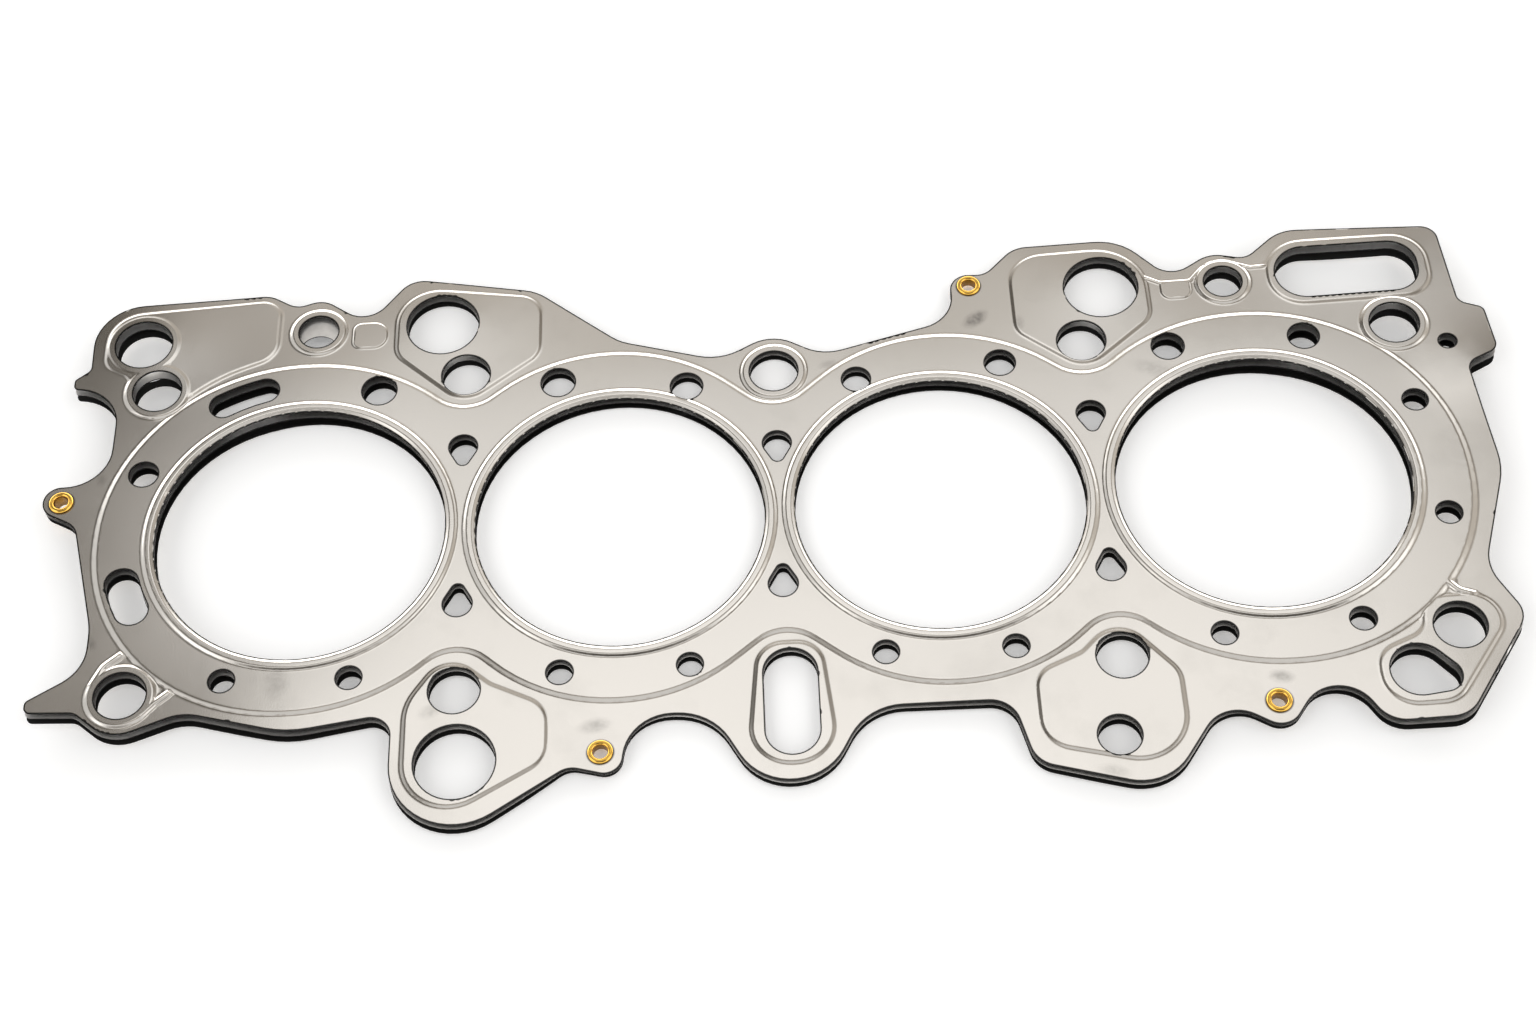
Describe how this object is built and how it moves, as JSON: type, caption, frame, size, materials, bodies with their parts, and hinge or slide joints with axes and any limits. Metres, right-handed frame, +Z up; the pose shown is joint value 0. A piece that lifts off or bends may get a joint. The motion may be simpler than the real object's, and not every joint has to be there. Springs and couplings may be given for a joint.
{
  "type": "cylinder head gasket",
  "caption": "Flat layered steel cylinder head gasket: large round bores in a row, with bolt, oil and coolant openings, raised sealing beads and brass eyelets.",
  "frame": {"origin": "middle of the row of bores, halfway up the stack of sheets; the gasket rests on z = -1.75 mm", "axes": "+X along the row of bores, towards the end with the long rounded slot; +Y towards the side that holds that slot; +Z up through the sheets"},
  "size_m": [0.4159, 0.1797, 0.0036],
  "materials": {
    "bead_steel": "satin",
    "spacer_steel": "satin",
    "eyelet_brass": "polished"
  },
  "bodies": {
    "root": {"upper_beaded_sheet": "bead_steel", "spacer_sheet": "spacer_steel", "lower_beaded_sheet": "bead_steel", "eyelet_left": "eyelet_brass", "eyelet_rear": "eyelet_brass", "eyelet_front_left": "eyelet_brass", "eyelet_front_right": "eyelet_brass"}
  },
  "joints": []
}
